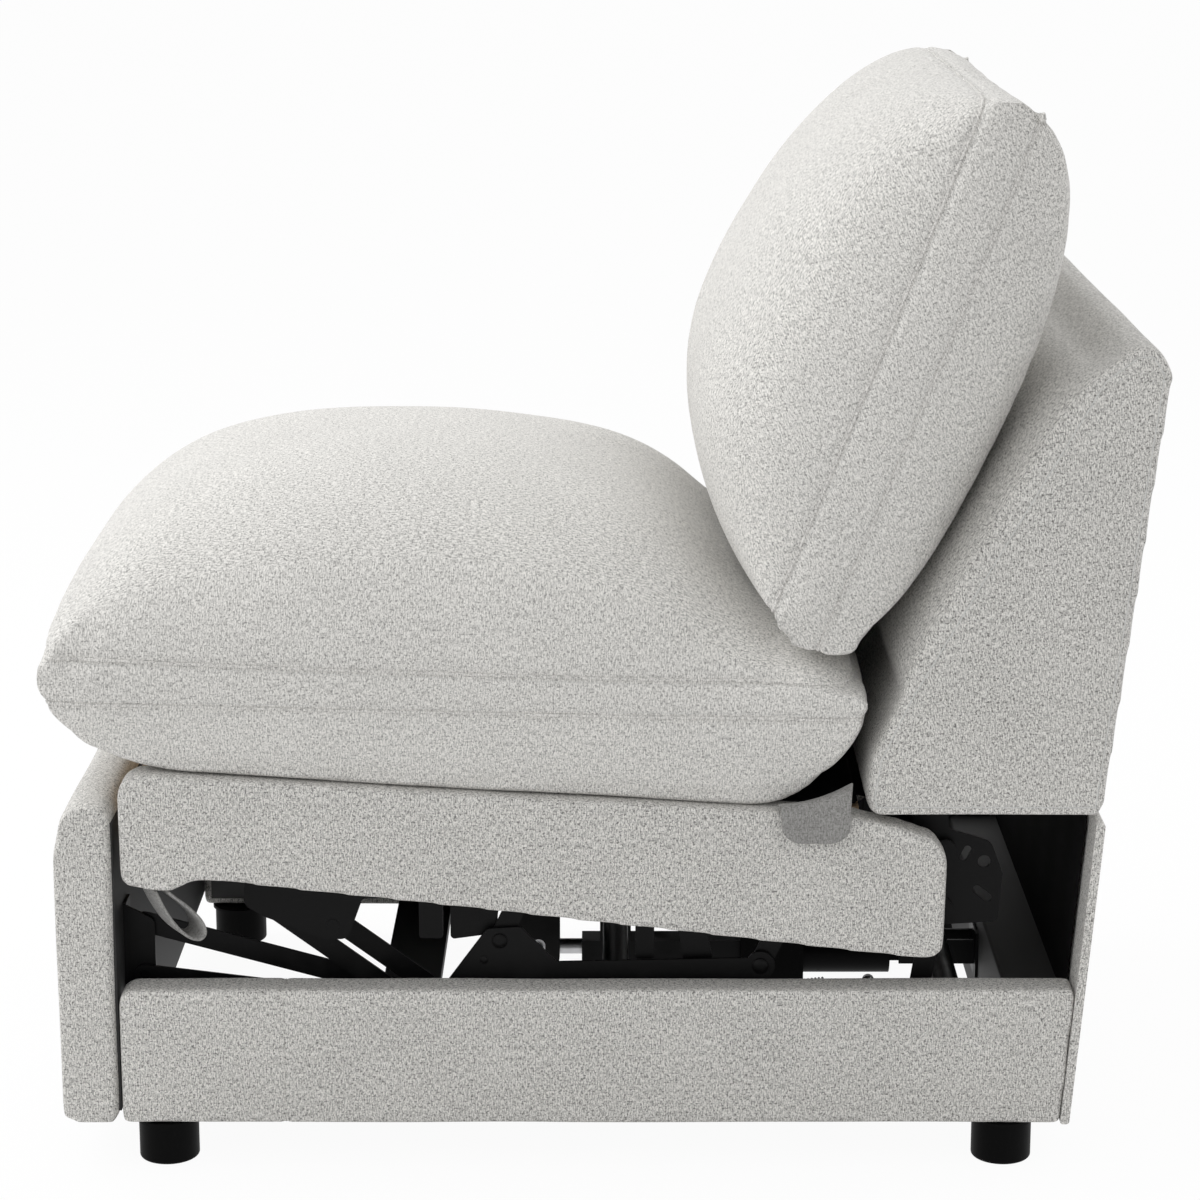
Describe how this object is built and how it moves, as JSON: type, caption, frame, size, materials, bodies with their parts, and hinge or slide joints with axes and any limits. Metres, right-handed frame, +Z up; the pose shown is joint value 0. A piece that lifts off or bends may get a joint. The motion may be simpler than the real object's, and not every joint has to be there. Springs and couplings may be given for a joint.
{
  "type": "armless powered recliner",
  "caption": "Armless reclining seat: padded seat and back cushions on covered rails, an open steel linkage between seat and base, a folding footrest and block feet.",
  "frame": {"origin": "on the floor under the middle of the outer box", "axes": "-Y is the front of the chair, +X its left hand side when seated, +Z up"},
  "size_m": [0.692, 1.0455, 1.0195],
  "materials": {
    "cushion_fabric": "loose-filled cushion in light grey woven cloth",
    "cover_fabric": "light grey woven cloth over thin foam",
    "dark_cloth": "black synthetic cloth",
    "black_board": "plywood stained black",
    "lining_cloth": "black dust cloth",
    "frame_wood": "bare plywood",
    "black_steel": "black paint, satin",
    "bright_steel": "turned",
    "spring_steel": "black oiled wire",
    "bright_spring": "drawn wire",
    "dark_plastic": "moulded, fine grain"
  },
  "bodies": {
    "base": {"base_side_core_left": "black_board", "base_side_core_right": "black_board", "base_side_cover_left": "cover_fabric", "base_side_cover_right": "cover_fabric", "base_front_board": "black_board", "base_rear_rail": "black_board", "rear_panel": "cover_fabric", "rear_lining": "lining_cloth", "foot_front_left": "dark_plastic", "foot_front_right": "dark_plastic", "foot_rear_left": "dark_plastic", "foot_rear_right": "dark_plastic", "base_plate_left": "black_steel", "base_plate_right": "black_steel", "base_front_tube": "black_steel", "base_rear_tube": "black_steel", "tension_springs": "bright_spring", "drive_motor": "dark_plastic", "drive_rail": "black_steel", "drive_bracket": "black_steel"},
    "rod": {"drive_rod": "bright_steel"},
    "front_lift_links": {"front_lift_left": "black_steel", "front_lift_right": "black_steel"},
    "rear_lift_links": {"rear_lift_left": "black_steel", "rear_lift_right": "black_steel"},
    "seat": {"seat_rail_core_left": "frame_wood", "seat_rail_core_right": "frame_wood", "seat_rail_cover_left": "cover_fabric", "seat_rail_cover_right": "cover_fabric", "seat_front_board": "frame_wood", "seat_rear_board": "frame_wood", "seat_springs": "spring_steel", "seat_deck_cloth": "dark_cloth", "seat_plate_left": "black_steel", "seat_plate_right": "black_steel", "seat_cross_tube": "black_steel", "drive_yoke": "black_steel", "seat_cushion": "cushion_fabric", "seat_straps": "cover_fabric", "seat_flaps": "cover_fabric"},
    "back": {"back_side_left": "cover_fabric", "back_side_right": "cover_fabric", "back_outer_panel": "cover_fabric", "back_bottom_boards": "frame_wood", "back_head_board": "cover_fabric", "back_pad": "cover_fabric", "back_pillow": "cushion_fabric", "back_bracket_left": "black_steel", "back_bracket_right": "black_steel"},
    "back_links": {"back_link_left": "black_steel", "back_link_right": "black_steel"},
    "long_links": {"footrest_long_link_left": "black_steel", "footrest_long_link_right": "black_steel"},
    "keeper_links": {"footrest_keeper_links": "black_steel"},
    "guide_links": {"footrest_guide_links": "black_steel"},
    "torque_tube": {"footrest_torque_tube": "black_steel"},
    "footrest": {"footrest_board": "black_board", "footrest_pad": "cover_fabric", "footrest_bracket_left": "black_steel", "footrest_bracket_right": "black_steel"}
  },
  "joints": [
    {"name": "recline", "type": "hinge", "parent": "base", "child": "front_lift_links", "pos_m": [0, -0.09, 0.211], "axis": [1, 0, 0], "range_deg": [0, 54]},
    {"name": "seat_level", "type": "hinge", "parent": "front_lift_links", "child": "seat", "pos_m": [0, -0.03717, 0.32429], "axis": [-1, 0, 0], "range_deg": [0, 54]},
    {"name": "rear_lift", "type": "hinge", "parent": "base", "child": "rear_lift_links", "pos_m": [0, 0.158, 0.186], "axis": [1, 0, 0], "range_deg": [0, 54]},
    {"name": "back_recline", "type": "hinge", "parent": "seat", "child": "back", "pos_m": [0, 0.332, 0.24], "axis": [-1, 0, 0], "range_deg": [0, 30]},
    {"name": "back_link", "type": "hinge", "parent": "base", "child": "back_links", "pos_m": [0, 0.3096, 0.16], "axis": [1, 0, 0], "range_deg": [0, 34.6]},
    {"name": "rod_stroke", "type": "slide", "parent": "base", "child": "rod", "axis": [0, -1, 0], "range_m": [0, 0.1136]},
    {"name": "footrest_lift", "type": "hinge", "parent": "seat", "child": "long_links", "pos_m": [0, -0.32, 0.248], "axis": [-1, 0, 0], "range_deg": [0, 145.2]},
    {"name": "torque_tube_turn", "type": "hinge", "parent": "seat", "child": "torque_tube", "pos_m": [0, -0.24909, 0.22358], "axis": [-1, 0, 0], "range_deg": [0, 145.2]},
    {"name": "guide_level", "type": "hinge", "parent": "long_links", "child": "guide_links", "pos_m": [0, -0.19958, 0.15857], "axis": [1, 0, 0], "range_deg": [0, 145.2]},
    {"name": "footrest_tilt", "type": "hinge", "parent": "guide_links", "child": "footrest", "pos_m": [0, -0.43, 0.222], "axis": [-1, 0, 0], "range_deg": [0, 92.05]},
    {"name": "keeper_turn", "type": "hinge", "parent": "long_links", "child": "keeper_links", "pos_m": [0, -0.17461, 0.14002], "axis": [1, 0, 0], "range_deg": [0, 137.95]}
  ],
  "couplings": [
    {"joint": "seat_level", "follows": "recline", "ratio": 1},
    {"joint": "rear_lift", "follows": "recline", "ratio": 1},
    {"joint": "back_recline", "follows": "recline", "ratio": 0.55556},
    {"joint": "back_link", "follows": "recline", "ratio": 0.6404},
    {"joint": "rod_stroke", "follows": "recline", "m_per_rad": 0.12035},
    {"joint": "torque_tube_turn", "follows": "footrest_lift", "ratio": 1},
    {"joint": "guide_level", "follows": "footrest_lift", "ratio": 1},
    {"joint": "footrest_tilt", "follows": "footrest_lift", "ratio": 0.63361},
    {"joint": "keeper_turn", "follows": "footrest_lift", "ratio": 0.9497}
  ]
}
